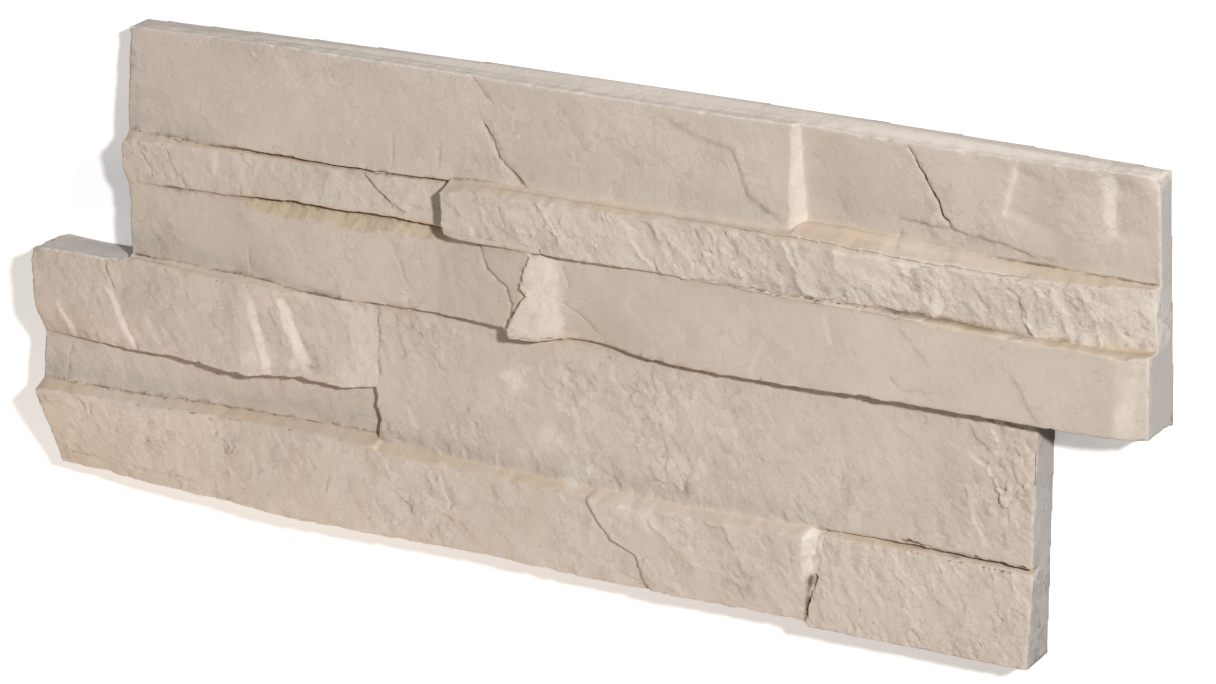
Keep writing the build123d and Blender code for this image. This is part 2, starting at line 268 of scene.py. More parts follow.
steps = (
    {"path": ((43.0, 98.0), (62.6, 89.6), (80.0, 86.1), (86.2, 75.0), (88.3, 69.4), (96.9, 64.6), (105.4, 57.9)), "drop": -0.8, "wide": 2.0, "reach": 40},
    {"path": ((20.0, 91.6), (16.4, 81.1)), "drop": 0.4, "wide": 2.0, "reach": 14},
    {"path": ((154.4, 97.6), (160.1, 85.9), (170.4, 67.9)), "drop": -0.7, "wide": 1.0, "reach": 24},
    {"path": ((148.2, 67.4), (170.3, 66.4), (191.0, 64.0), (215.5, 59.2)), "drop": -0.6, "wide": 1.2, "reach": 12},
    {"path": ((198.5, 98), (194.5, 82.0), (192.2, 74.2)), "drop": 0.9, "wide": 1.8, "reach": 25},
    {"path": ((235.3, 99.0), (235.7, 71.0)), "drop": 1.3, "wide": 4.5, "reach": 22},
    {"path": ((-89.8, 54.6), (-80.7, 46.4), (-67.7, 38.6)), "drop": -0.9, "wide": 1.2, "reach": 25},
    {"path": ((-159.9, 54.9), (-160.9, 47.5), (-161.5, 42)), "drop": 0.6, "wide": 1.4, "reach": 14},
    {"path": ((39.3, 27.5), (33.1, 17.0)), "drop": 0.5, "wide": 1.4, "reach": 12},
    {"path": ((99.1, 17.4), (92.3, 6.1), (89.9, -2.4)), "drop": 0.6, "wide": 1.2, "reach": 18},
    {"path": ((123.4, 30.4), (125.0, 22.3), (127.5, 16.7)), "drop": 0.4, "wide": 1.4, "reach": 10},
    {"path": ((153.8, 30.8), (160.6, 24.3), (167.7, 16.0)), "drop": -0.5, "wide": 1.2, "reach": 14},
    {"path": ((200.8, 21.5), (209.0, 7.2), (215.2, 0.3)), "drop": -0.5, "wide": 1.2, "reach": 18},
    {"path": ((-220.4, -9.9), (-214.1, -16.3), (-210.3, -28.2), (-206.6, -37.6), (-205.0, -42)), "drop": 1.3, "wide": 1.6, "reach": 26},
    {"path": ((-198.5, -19.9), (-195.6, -28.2), (-192.2, -37.4)), "drop": 0.6, "wide": 1.6, "reach": 14},
    {"path": ((-243.9, -21.4), (-241.7, -29.4), (-238.8, -36.8), (-238.0, -42)), "drop": 1.0, "wide": 1.6, "reach": 16},
    {"path": ((-145.6, -3.0), (-142.3, -19.1), (-140.1, -28.6), (-137.0, -42)), "drop": 1.9, "wide": 2.2, "reach": 28},
    {"path": ((-132.0, -1.0), (-128.1, -14.5), (-125.0, -23.8), (-120.9, -31.3), (-119.5, -38)), "drop": 2.7, "wide": 3.4, "reach": 36},
    {"path": ((-170.4, -64.7), (-166.8, -71.6)), "drop": 0.7, "wide": 1.8, "reach": 14},
    {"path": ((202.3, -6.9), (208.0, -18.6), (203.9, -29.5), (197.3, -38.8), (195.6, -43.1)), "drop": 0.8, "wide": 1.2, "reach": 12},
    {"path": ((180.7, -4.7), (183.6, -11.0), (190.6, -16.6)), "drop": -0.5, "wide": 1.0, "reach": 12},
    {"path": ((187.7, -24.4), (192.7, -32.3), (186.8, -41.5)), "drop": -0.5, "wide": 1.0, "reach": 12},
)
pits = ((237.3, 94.8), (238.9, 93.2), (239.7, 91.8), (234.9, 92.2))     # open air bubbles in a cluster
pitCount, pitReach, pitDeep = 40, 0.42, 0.4                             # and single ones all over


def pathField(x, y, path):
    # distance to a path, the side it is on, and how far along it lies
    best = np.full(x.shape, 1e9)
    side, along = np.zeros_like(x), np.zeros_like(x)
    runs = [math.dist(a, b) for a, b in zip(path, path[1:])]
    total, done = sum(runs), 0.0
    for (ax, ay), (bx, by), run in zip(path, path[1:], runs):
        dx, dy = (bx - ax) / run, (by - ay) / run
        t = np.clip((x - ax) * dx + (y - ay) * dy, 0, run)
        ox, oy = x - ax - t * dx, y - ay - t * dy
        d = np.hypot(ox, oy)
        near = d < best
        best = np.where(near, d, best)
        side = np.where(near, np.sign(ox * -dy + oy * dx), side)
        along = np.where(near, (done + t) / total, along)
        done += run
    return best, side, along


def nearPath(x, y, path, reach):
    xs, ys = [p[0] for p in path], [p[1] for p in path]
    return np.nonzero((x > min(xs) - reach) & (x < max(xs) + reach) & (y > min(ys) - reach) & (y < max(ys) + reach))[0]


def crackDepth(x, y):
    deep = np.zeros_like(x)
    for index, crack in enumerate(cracks):
        pick = nearPath(x, y, crack["path"], 4)
        gx, gy = x[pick], y[pick]
        jx = gx + 0.8 * ripple(gx, gy, 5, 300 + index) + 0.35 * ripple(gx, gy, 1.9, 340 + index)
        jy = gy + 0.8 * ripple(gx, gy, 5, 380 + index) + 0.35 * ripple(gx, gy, 1.9, 420 + index)
        d, _, along = pathField(jx, jy, crack["path"])
        width = crack.get("wide", 0.4) * (0.7 + 0.6 * ease(0.5 + ripple(gx, gy, 9, 460 + index)))
        cut = crack["deep"] * np.exp(-(d / width) ** 2) * ease(along / 0.1) * ease((1 - along) / 0.1)
        deep[pick] = np.maximum(deep[pick], cut * (0.55 + 0.45 * ease(0.6 + 1.5 * ripple(gx, gy, 7, 480 + index))))
    scatter = np.random.default_rng(5)
    spots = list(pits) + list(zip(scatter.uniform(-200, 250, pitCount), scatter.uniform(-95, 95, pitCount)))
    for spot in spots:
        pick = nearPath(x, y, (spot,), 2)
        d = np.hypot(x[pick] - spot[0], y[pick] - spot[1])
        deep[pick] = np.maximum(deep[pick], pitDeep * np.exp(-(d / pitReach) ** 2))
    return deep


def stepRelief(x, y):
    rise = np.zeros_like(x)
    for index, step in enumerate(steps):
        pick = nearPath(x, y, step["path"], step["reach"])
        gx, gy = x[pick], y[pick]
        jx = gx + 0.9 * ripple(gx, gy, 7, 500 + index) + 0.35 * ripple(gx, gy, 2.6, 520 + index)
        jy = gy + 0.9 * ripple(gx, gy, 7, 540 + index) + 0.35 * ripple(gx, gy, 2.6, 560 + index)
        d, side, along = pathField(jx, jy, step["path"])
        signed = d * side
        fall = np.clip(signed / step["wide"] + 0.5, 0, 1) * ease(1 - np.maximum(signed, 0) / step["reach"])
        rise[pick] -= step["drop"] * fall * ease(along / 0.25) * ease((1 - along) / 0.15)
    return rise


# Broken end of the left sill stone: the ragged edge of a tooth by y, then x and height of the slope down to the sunk stone
# beyond the foot the sunk stone has its own height, which rises along x, by one slope at its lower edge and another at its upper one
sillBreak = {"edge": ((-3, -17.6), (0.9, -18.7), (6.0, -16.4), (12.1, -12.3), (16.2, -9.3), (19.2, -12.0), (25.8, -9.2), (29.2, -7.5), (33, -5.6)),
             "top": 24.0, "tooth": 0.9, "arris": (-6.0, 22.4), "foot": (3.5, 17.87), "slopes": (0.0462, 0.0282), "tilt": 1.5, "end": 40.0}


def breakHeight(x, y):
    b = sillBreak
    ragged = x + 0.5 * ripple(x, y, 4, 581) + 0.3 * ripple(x, y, 1.8, 587)
    edge = np.interp(y, *zip(*b["edge"]))
    (arris, high), (foot, low), (slopeLow, slopeHigh) = b["arris"], b["foot"], b["slopes"]
    t = np.clip((ragged - edge) / np.maximum(arris - edge, 0.5), 0, 1)
    stump = b["top"] + b["tooth"] * (1 - t) + (high - b["top"]) * t
    lower = np.where(x < 1.8, lineAt("sillLeftLow", x) - 0.5, lineAt("sillRightLow", x))
    up = np.clip((y - lower) / 34, 0, 1)
    sunk = low + b["tilt"] * up + np.maximum(x - foot, 0) * (slopeLow + (slopeHigh - slopeLow) * up)
    slope = high + (sunk - high) * np.clip((x - arris) / (foot - arris), 0, 1)
    inside = (ragged > edge) & (x < b["end"]) & (y > lower) & (y < lineAt("bandLongLow", x) - 0.4)
    return inside, np.where(x < arris, stump, slope)


def cellField(x, y, size, stretch, slant, seed):
    along, across = turned(x, y, slant)
    bentX = along / stretch + 0.45 * size * ripple(x, y, size, seed + 1)
    bentY = across + 0.45 * size * ripple(x, y, size, seed + 2)
    return nearestCell(bentX, bentY, size, seed + 3)


def flakeRelief(*field):
    _, wayX, wayY, own = cellField(*field)
    return wayX * np.cos(7 * own) + wayY * np.sin(7 * own) + 0.4 * np.sin(13 * own)


def scoopRelief(*field):
    near, _, _, own = cellField(*field)
    return (near - 0.2) * (0.6 + 0.4 * np.sin(11 * own))


def chamferShare(stone, x, y):
    a, b, wide, _ = stone["chamfer"]
    under = lineAt(stone["below"], x) - y + 0.8 * ripple(x, y, 9, 91) + 1.5 * rough(x - 0.6 * y, 0.5 * y, 11, 93, 4, 0.6)
    return np.clip(1 - under / wide, 0, 1) * ease((x - a) / 16) * ease((b - x) / 4)


def faceRelief(x, y):
    # height of the broken skin over the solid, how far whole stones lift off it, how coarse the grain is, and any height of its own
    rise, lift, grain = np.zeros_like(x), np.zeros_like(x), np.full_like(x, 0.4)
    down = np.clip((-64 - y) / 38, 0, 1)
    for name, stone in stones.items():
        (x0, x1), (lean0, lean1) = stone["x"], stone["lean"]
        inside = (x >= x0 + lean0 * down) & (x < x1 + lean1 * down)
        if stone["above"]:
            inside &= y >= lineAt(stone["above"], x)
        if stone["below"]:
            inside &= y < lineAt(stone["below"], x)
        pick = np.nonzero(inside)[0]
        gx, gy, seed, size = x[pick], y[pick], stone["seed"], stone["flakeSize"]
        shape = (stone["stretch"], stone["slant"])
        patchy = 0.3 + 0.7 * ease(0.5 + 1.2 * ripple(gx, gy, 3.2 * size, seed + 9))
        broken = sum(much * np.exp(-((gx - fx) ** 2 + (gy - fy) ** 2) / reach ** 2) for fx, fy, reach, much in flaws)
        part = stone["swell"] * rough(gx, gy, 38, seed, 4, 0.5)
        part += stone["flake"] * (patchy + broken) * flakeRelief(gx, gy, size, *shape, seed + 20)
        part += 0.5 * stone["flake"] * (patchy + broken) * flakeRelief(gx, gy, 0.42 * size, *shape, seed + 40)
        if stone["scoop"]:
            part += stone["scoop"] * (1.3 - patchy) * scoopRelief(gx, gy, stone["scoopSize"], *shape, seed + 60)
        part += 0.05 * stone["grain"] * rough(gx, gy, 2.6, seed + 80, 2)
        if stone["below"]:
            part *= ease((lineAt(stone["below"], gx) - gy) / 3 + 0.2)
        if "belly" in stone:
            a, b, c, d, up = stone["belly"]
            lift[pick] = up * ease((gx - a) / (b - a)) * ease((d - gx) / (d - c))
        if "tilt" in stone:
            lift[pick] += np.interp(gx, *zip(*stone["tilt"])) * np.clip((gy - lineAt(stone["above"], gx)) / 34, 0, 1)
        if "chamfer" in stone:
            part -= stone["chamfer"][3] * chamferShare(stone, gx, gy)
        rise[pick], grain[pick] = part, np.minimum(stone["grain"] * (1 + 0.35 * broken), 1)
    inside, height = breakHeight(x, y)
    rise = np.where(inside & (x < sillBreak["foot"][0]), 0.15 * rough(x, y, 7, 595, 3), rise + stepRelief(x, y)) - crackDepth(x, y)
    return rise, lift, grain, np.where(inside, height, -1.0)


# Corners worn round or chipped, lumps, and the fin of cement at the left end: place, reach and move in mm
nudges = (
    ((-46.5, 34.0, 24), (4.0, 3.5, 7), (0.9, 0.6, -0.6)),
    ((-46.5, 54.3, 25), (4.0, 3.5, 7), (-1.0, -0.6, -1.0)),
    ((-206.5, 40.0, 12), (4.0, 5.0, 9), (-2.8, 0.0, 0.0)),
    ((-206.0, 54.2, 24), (5.0, 4.0, 6), (1.8, -0.8, -1.2)),
    ((-255.0, -1.3, 24.5), (4.0, 4.0, 6), (0.6, -1.0, -0.8)),
    ((-257.0, -62.0, 27), (4.0, 4.0, 6), (0.4, -0.8, -0.6)),
    ((-232.0, -1.3, 0), (26.0, 4.0, 8), (0.0, -1.5, 0.0)),
    ((255.5, 98.7, 10), (4.0, 4.0, 5), (-1.6, -1.2, -1.2)),
    ((206.0, -101.7, 17), (4.0, 3.0, 5), (0.3, 0.0, 0.4)),
    ((-145.0, 27.0, 18), (7.0, 5.0, 9), (0.0, 0.0, 0.9)),
    ((58.8, -79.6, 21), (7.0, 5.0, 9), (0.0, 0.0, 1.2)),
    ((-95.0, -3.6, 18), (6.0, 2.2, 5), (0.0, -0.6, -1.6)),
    ((50.0, 31.5, 18), (3.0, 1.6, 5), (0.0, 0.0, -0.9)),
    ((14.0, -1.0, 17), (27.0, 9.0, 12), (0.0, 0.0, -3.0)),
)

# The panel: the solid's own shape on a fine grid, given its broken skin, then thinned where it is smooth
panel = {"grid": 0.5, "triangles": 192000}


def evaluated(obj):
    mesh = bpy.data.meshes.new_from_object(obj.evaluated_get(bpy.context.evaluated_depsgraph_get()))
    obj.modifiers.clear()
    obj.data = mesh
    return mesh


def readPoints(mesh):
    points, normals = np.empty(len(mesh.vertices) * 3), np.empty(len(mesh.vertices) * 3)
    mesh.vertices.foreach_get("co", points)
    mesh.vertex_normals.foreach_get("vector", normals)
    return points.reshape(-1, 3) / mm, normals.reshape(-1, 3)


def writePoints(mesh, points):
    mesh.vertices.foreach_set("co", (points * mm).ravel())
    mesh.update()


def smoother(mesh):
    # evens values out over the mesh, a little further each round
    ends = np.empty(len(mesh.edges) * 2, dtype=np.int32)
    mesh.edges.foreach_get("vertices", ends)
    a, b = ends[0::2], ends[1::2]
    count = len(mesh.vertices)
    share = np.bincount(a, minlength=count) + np.bincount(b, minlength=count)

    def smooth(values, rounds):
        for _ in range(rounds):
            near = np.bincount(a, values[b], count) + np.bincount(b, values[a], count)
            values = 0.4 * values + 0.6 * near / share
        return values
    return smooth


def makePanel():
    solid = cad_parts["cladding_panel"]
    bm = bmesh.new()
    bm.from_mesh(solid.data)
    bmesh.ops.remove_doubles(bm, verts=bm.verts, dist=0.00001)
    mesh = bpy.data.meshes.new("castStonePanel")
    bm.to_mesh(mesh)
    bm.free()
    obj = bpy.data.objects.new("castStonePanel", mesh)
    bpy.context.collection.objects.link(obj)

    grid = obj.modifiers.new("grid", "REMESH")
    grid.mode = "VOXEL"
    grid.voxel_size = panel["grid"] * mm
    mesh = evaluated(obj)
    smooth = smoother(mesh)
    print("grid", len(mesh.vertices), "points")

    points, normals = readPoints(mesh)
    x, y, z = points.T.copy()
    nx, ny, nz = normals.T
    low, high = (np.array(corner) / mm for corner in cadBox)

    # arrises, worn everywhere and chipped in places
    soft = np.stack([smooth(points[:, k], 10) for k in range(3)], 1)
    sharp = -((soft - points) * normals).sum(1)
    worn = ease(sharp / 0.12) * ease((z - 1) / 2)
    chips = ease((rough(x + 0.6 * z, y - 0.6 * z, 9, 631, 3) - 0.22) / 0.3)
    wear = worn * (0.25 + 1.6 * chips)
    x, y, z = (p + wear * (s - p) for p, s in zip((x, y, z), soft.T))

    # ledges without the steps of the grid
    calm = 0.9 * ease((ny - 0.3) / 0.3) * (1 - ease(np.abs(sharp) / 0.12))
    x, y, z = (p + calm * (s - p) for p, s in zip((x, y, z), soft.T))

    # the faces, in the height
    facing = ease((nz - 0.25) / 0.4)
    rise, lift, grain, own = faceRelief(x, y)
    z = np.where((own > 0) & (nz > 0.1), own + rise, z + facing * rise + ease((nz - 0.05) / 0.15) * lift)

    # ledges, joints and ends, along their own slope
    upright = ease((0.75 - np.abs(nz)) / 0.4) * ease((z - 0.5) / 3)
    crumble = 0.20 * rough(x + z, y - z, 7, 611, 3) + 0.10 * rough(x - z, y + z, 2.4, 617, 2)
    crumble = crumble * (1 - 0.7 * ease((ny - 0.3) / 0.3)) * (1 - 0.85 * ease((nx - 0.8) / 0.1))
    x, y, z = x + nx * upright * crumble, y + ny * upright * crumble, z + nz * upright * crumble

    # course lines that wander
    shift = np.zeros_like(x)
    for index, (name, line) in enumerate(courseLines.items()):
        places, offsets = zip(*line["wander"])
        wander = np.interp(x, places, offsets) + lineTick * rough(x, 0 * x + 7 * index, 8, 701 + index, 3)
        off = (y - lineAt(name, x)) / lineReach
        if "floor" in line:
            wander = wander * ease((z - np.interp(x, *zip(*line["floor"]))) / 3)
        shift += wander * np.exp(-off * off) * lineSpan(name, x)
    y = y + shift * ease(z / 4)
    for index, line in enumerate(uprightLines.values()):
        x0, y0, x1, y1 = line["ends"]
        places, offsets = zip(*line["wander"])
        wander = np.interp(y, places, offsets) + lineTick * rough(y, 0 * y + 7 * index, 6, 741 + index, 3)
        off = (x - x0 - (x1 - x0) * (y - y0) / (y1 - y0)) / 7.5
        x = x + wander * np.exp(-off * off) * ease((y - y1) / 3 + 1) * ease((y0 - y) / 3 + 1) * ease(z / 4)

    for at, reach, move in nudges:
        pull = np.exp(-sum(((p - a) / r) ** 2 for p, a, r in zip((x, y, z), at, reach)))
        x, y, z = (p + pull * m for p, m in zip((x, y, z), move))

    # back kept flat, and nothing outside the solid's box
    z = np.where(nz < -0.8, 0.0, z)
    points = np.clip(np.stack([x, y, z], 1), low + 0.02, high - 0.02)
    points[:, 2] = np.where(nz < -0.8, 0.0, points[:, 2])
    writePoints(mesh, points)
    markPanel(mesh, smooth, grain)

    thin = obj.modifiers.new("thin", "DECIMATE")
    thin.ratio = min(1.0, panel["triangles"] / (2 * len(mesh.vertices)))
    mesh = evaluated(obj)
    bm = bmesh.new()
    bm.from_mesh(mesh)
    bmesh.ops.triangulate(bm, faces=bm.faces)
    bmesh.ops.recalc_face_normals(bm, faces=bm.faces)
    for face in bm.faces:
        face.smooth = True
    bm.to_mesh(mesh)
    bm.free()
    writePoints(mesh, np.clip(readPoints(mesh)[0], low + (0.02, 0.02, 0), high - 0.02))
    print("panel", len(mesh.polygons), "triangles")
    return obj


# Pale bloom of lime on the face: x, y and reach in mm
blooms = ((-21, -24, 6), (-6, -47, 7), (6, -59, 6), (-20, -59, 5), (-145, -32, 4), (-126, -33, 3), (31, -68, 6), (42, -70, 5))
# Painted highlights on scarps and walls facing the lamp, partly fresh breaks rubbed pale, as paths in mm
scarpHighlights = (
    {"path": ((235.3, 97.5), (235.5, 84.0), (235.7, 72.5)), "wide": (7.0, 3.0), "much": 0.75},
    {"path": ((198.5, 96.0), (194.5, 82.0), (192.2, 74.2)), "wide": (2.6, 1.4), "much": 0.5},
    {"path": ((252.5, 32.0), (250.5, 19.0), (247.5, 1.0)), "wide": (2.5, 7.0), "much": 0.65},
    {"path": ((-217.0, -12.0), (-213.0, -19.0), (-210.3, -28.2), (-206.6, -37.6)), "wide": (1.2, 2.0), "much": 0.45},
    {"path": ((-243.9, -21.4), (-241.7, -29.4), (-238.8, -36.8)), "wide": (1.0, 1.6), "much": 0.4},
    {"path": ((-144.8, -6.3), (-142.3, -19.1), (-140.1, -28.6), (-138.2, -36.8)), "wide": (1.0, 3.4), "much": 0.45},
    {"path": ((-131.2, -3.5), (-128.1, -14.5), (-125.0, -23.8), (-120.9, -31.3)), "wide": (2.0, 5.0), "much": 0.6},
    {"path": ((-1.5, 34.0), (-1.2, 16.0), (-1.0, -1.0)), "wide": (9.0, 9.0), "much": 0.6},
    {"path": ((-9.0, 18.0), (-11.0, 10.0), (-13.0, 0.0)), "wide": (3.0, 9.0), "much": 0.45},
    {"path": ((107.5, 98.0), (108.6, 57.5)), "wide": (3.0, 4.0), "much": 0.5},
    {"path": ((114.0, -61.5), (113.2, -72.0), (113.0, -81.0)), "wide": (5.0, 2.4), "much": 0.9},
)


def markPanel(mesh, smooth, grain):
    # honey stain on the ledges with painted warm shade round hollows, dark joints and cracks with painted shade in
    # hollows and at ledge roots, lime blooms pale with painted highlights on arrises, scarps and up-facing faces, and
    # the right ends painted greyer, partly the mould's skin, partly painted shade
    points, normals = readPoints(mesh)
    x, y, z = points.T
    soft = np.stack([smooth(points[:, k], 5) for k in range(3)], 1)
    hollow = smooth(((soft - points) * normals).sum(1), 2)
    joint, root = np.zeros_like(x), np.zeros_like(x)
    for name, line in courseLines.items():
        if "joint" in line:
            off = np.abs(y - lineAt(name, x) - np.interp(x, *zip(*line["wander"])))
            dark = np.interp(x, *zip(*line["joint"])) * lineSpan(name, x)
            joint, root = np.maximum(joint, dark * ease(1.5 - off / 2.6)), np.maximum(root, dark * ease(2 - off / 4))
    tight = np.stack([smooth(points[:, k], 2) for k in range(3)], 1)
    crease = ((tight - points) * normals).sum(1)
    # painted shade: a brown line in the crease at the root of each ledge, where its shadow falls
    root = root * ease((crease - 0.018) / 0.045) * ease((smooth(ease((normals[:, 1] - 0.3) / 0.4), 3) - 0.12) / 0.2)
    # dark joints and cracks, plus painted shade darkening every hollow and crease
    crevice = np.maximum(root, 0.85 * joint * ease((hollow - 0.045) / 0.09)) + 0.35 * ease((hollow - 0.15) / 0.25)
    crevice = np.clip(crevice + 0.5 * crackDepth(x, y) * (normals[:, 2] > 0.2), 0, 1) * ease(z / 2)
    # painted shade: a warm brown spread round every hollow, where shadows fall
    glow = np.clip(2.2 * smooth(ease((hollow - 0.04) / 0.16), 50), 0, 1)
    patchy = ease(0.45 + 0.9 * rough(x, y, 42, 801, 3))
    ledge = ease((normals[:, 1] - 0.3) / 0.4) * ease((80 - y) / 10) * (1 - ease((-204 - x) / 6) * ease((y + 12) / 6) * ease((14 - y) / 6))
    # honey stain on the ledges, plus the painted warm shade round hollows
    stainAndWarmShade = np.clip((0.2 + 0.45 * patchy) * ledge + (0.6 + 0.4 * patchy) * glow, 0, 1) * ease(z / 4)
    sill = stones["sillLeft"]
    stainAndWarmShade = np.maximum(stainAndWarmShade, 0.9 * (chamferShare(sill, x, y) > 0.05) * (y < lineAt(sill["below"], x) + 2))
    topEdge = ease((y - 94) / 3)
    # painted highlight along the arrises, stronger at the top edge, partly chipped wear
    bloomAndHighlight = (0.35 + 0.65 * topEdge) * ease(-(hollow + 0.06 - 0.03 * topEdge) / 0.2) * ease(0.5 + 0.3 * topEdge + rough(x, y, 12, 821, 3))
    noseTop = ease((-204 - x) / 4) * ease((y + 12) / 6) * ease((12 - y) / 4)
    # painted highlight on the up-facing top face and on the top of the nose
    bloomAndHighlight = np.maximum(bloomAndHighlight, ease((normals[:, 1] - 0.6) / 0.2) * np.maximum(0.7 * topEdge, noseTop))
    bandFace = ease((y - lineAt("bandLongLow", x)) / 2) * ease((lineAt("bandFront", x) - y) / 2 + 0.5)
    # painted highlight: the long band's face made lighter towards the right
    bloomAndHighlight = np.maximum(bloomAndHighlight, 0.3 * bandFace * ease(x / 60 + 0.4))
    # right end faces painted greyer and cooler: partly the mould's smoother skin, partly painted shade
    mouldSkinAndShade = ease((normals[:, 0] - 0.8) / 0.15) * ease((x - 195) / 5)
    # painted highlights along the scarps, partly fresh breaks
    for stroke in scarpHighlights:
        pick = nearPath(x, y, stroke["path"], 12)
        d, _, along = pathField(x[pick], y[pick], stroke["path"])
        half = 0.5 * np.interp(along, (0, 1), stroke["wide"]) * (1 + 0.7 * rough(x[pick], y[pick], 4, 861, 3))
        streak = 0.5 + 0.5 * ease(0.5 + 1.2 * rough(x[pick], 0.25 * y[pick], 2, 871, 2))
        bloomAndHighlight[pick] = np.maximum(bloomAndHighlight[pick], stroke["much"] * streak * ease(1.6 - d / half) * ease(along / 0.1 + 0.2) * ease((1 - along) / 0.1 + 0.2))
    for bx, by, reach in blooms:
        spot = np.hypot(x - bx, y - by) / reach + 0.5 * rough(x, y, 5, 841, 3)
        bloomAndHighlight = np.maximum(bloomAndHighlight, 0.5 * ease(1.4 - spot))
    grain = grain * (1 - (0.75 - 0.6 * topEdge) * smooth(ease((normals[:, 1] - 0.3) / 0.3), 4))
    for label, values in (("stainAndWarmShade", stainAndWarmShade), ("crevice", crevice), ("bloomAndHighlight", bloomAndHighlight), ("mouldSkinAndShade", mouldSkinAndShade), ("grain", grain)):
        layer = mesh.attributes.new(label, "FLOAT", "POINT")
        layer.data.foreach_set("value", values.astype(np.float32))


# Materials

def linear(hexColour):
    channels = [int(hexColour[i:i + 2], 16) / 255 for i in (1, 3, 5)]
    return tuple(c / 12.92 if c <= 0.04045 else ((c + 0.055) / 1.055) ** 2.4 for c in channels) + (1.0,)


def addNode(tree, kind, settings=None, links=None):
    node = tree.nodes.new(kind)
    for key, value in (settings or {}).items():
        if isinstance(key, str) and key in node.bl_rna.properties:
            setattr(node, key, value)
        else:
            node.inputs[key].default_value = value
    for key, source in (links or {}).items():
        tree.links.new(source, node.inputs[key])
    return node


# Wet-cast concrete stone, pigmented right through: dull, cream, sandy close up, honey-coloured where lime gathers; its
# colour also carries painted shade and painted highlights from the panel's attributes
castStone = {
    "colour": "#c4b8ad", "light": "#c9bdb3", "dull": "#bfb2a6", "stainAndWarmShade": "#bda481", "crevice": "#55392a", "bloomAndHighlight": "#e0d9d2", "mouldSkinAndShade": "#b4aeab",
    "mouldSkinAndShadeMost": 0.85, "stainAndWarmShadeMost": 0.58, "creviceMost": 0.88, "bloomAndHighlightMost": 0.7,
    "roughness": 0.9, "specular": 0.2,
    "cloud": 45.0, "sand": 0.7, "grit": 2.2, "scars": ((7.0, 0.32), (2.6, 0.20)), "slant": -60.0, "stretch": 1.6,     # mm, slope, degrees
    "patch": 26.0, "sandBump": 0.16, "gritBump": 0.30,                                                               # mm
}


